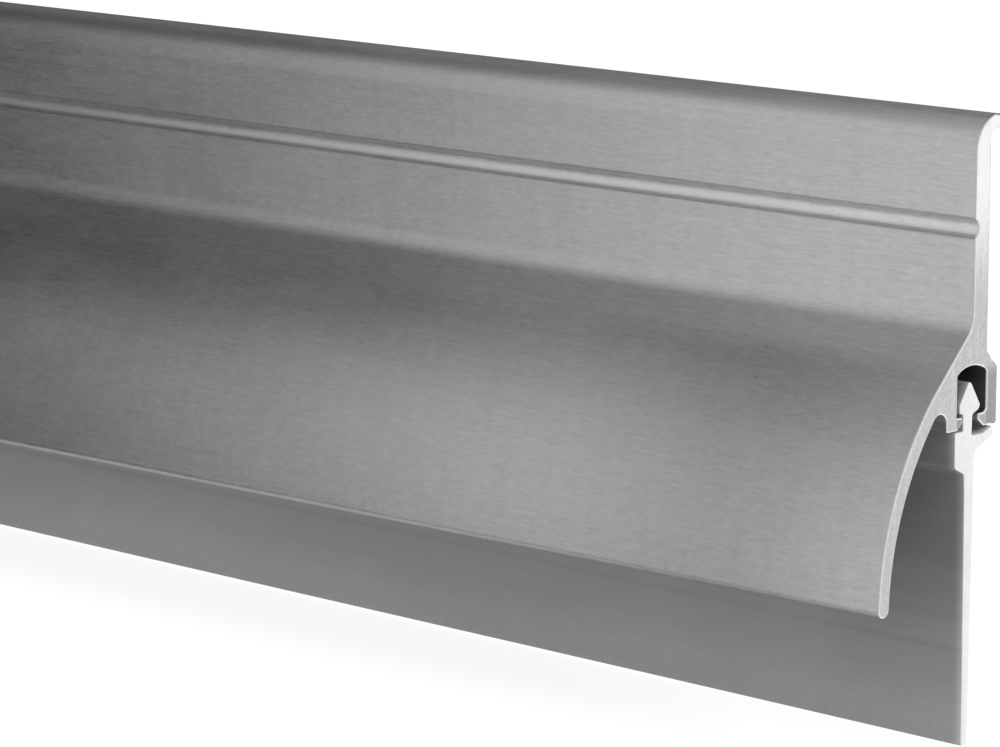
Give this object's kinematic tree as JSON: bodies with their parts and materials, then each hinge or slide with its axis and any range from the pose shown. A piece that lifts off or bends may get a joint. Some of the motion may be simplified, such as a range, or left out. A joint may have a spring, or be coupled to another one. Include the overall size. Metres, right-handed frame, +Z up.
{
  "type": "door sweep",
  "caption": "Surface-mounted door sweep: aluminium carrier with a drip skirt and T-slot, flexible vinyl insert below, slotted screw holes with screws and washers.",
  "frame": {"origin": "mid-length, on the plane of the door's face, at mid-height of the carrier's lower rear pad", "axes": "+X along the sweep, +Y back into the door, +Z up; the skirt faces -Y"},
  "size_m": [0.9144, 0.029, 0.0508],
  "materials": {
    "aluminium": "mill finish with a fine grain along the length, satin",
    "vinyl": "flexible grey vinyl, matte to satin",
    "washer_steel": "zinc plated",
    "screw_steel": "zinc plated"
  },
  "bodies": {
    "carrier": {"carrier_extrusion": "aluminium"},
    "insert": {"vinyl_insert_root": "vinyl"},
    "fin": {"vinyl_insert_fin": "vinyl"},
    "washers": {"washer_1": "washer_steel", "washer_2": "washer_steel", "washer_3": "washer_steel", "washer_4": "washer_steel", "washer_5": "washer_steel", "washer_6": "washer_steel"},
    "screw_1": {"screw_1": "screw_steel"},
    "screw_2": {"screw_2": "screw_steel"},
    "screw_3": {"screw_3": "screw_steel"},
    "screw_4": {"screw_4": "screw_steel"},
    "screw_5": {"screw_5": "screw_steel"},
    "screw_6": {"screw_6": "screw_steel"}
  },
  "joints": [
    {"name": "insert_slide", "type": "slide", "parent": "carrier", "child": "insert", "axis": [1, 0, 0], "range_m": [-0.9, 0.9]},
    {"name": "fin_flex", "type": "hinge", "parent": "insert", "child": "fin", "pos_m": [0, -0.00343, -0.0063], "axis": [1, 0, 0], "range_deg": [-30, 45], "stiffness_Nm_per_rad": 0.1},
    {"name": "height_adjust", "type": "slide", "parent": "carrier", "child": "washers", "axis": [0, 0, 1], "range_m": [-0.002, 0.002]},
    {"name": "screw_1_turn", "type": "hinge", "parent": "washers", "child": "screw_1", "pos_m": [-0.3302, 0, 0.01365], "axis": [0, 1, 0], "continuous": true},
    {"name": "screw_2_turn", "type": "hinge", "parent": "washers", "child": "screw_2", "pos_m": [-0.19812, 0, 0.01365], "axis": [0, 1, 0], "continuous": true},
    {"name": "screw_3_turn", "type": "hinge", "parent": "washers", "child": "screw_3", "pos_m": [-0.06604, 0, 0.01365], "axis": [0, 1, 0], "continuous": true},
    {"name": "screw_4_turn", "type": "hinge", "parent": "washers", "child": "screw_4", "pos_m": [0.06604, 0, 0.01365], "axis": [0, 1, 0], "continuous": true},
    {"name": "screw_5_turn", "type": "hinge", "parent": "washers", "child": "screw_5", "pos_m": [0.19812, 0, 0.01365], "axis": [0, 1, 0], "continuous": true},
    {"name": "screw_6_turn", "type": "hinge", "parent": "washers", "child": "screw_6", "pos_m": [0.3302, 0, 0.01365], "axis": [0, 1, 0], "continuous": true}
  ]
}
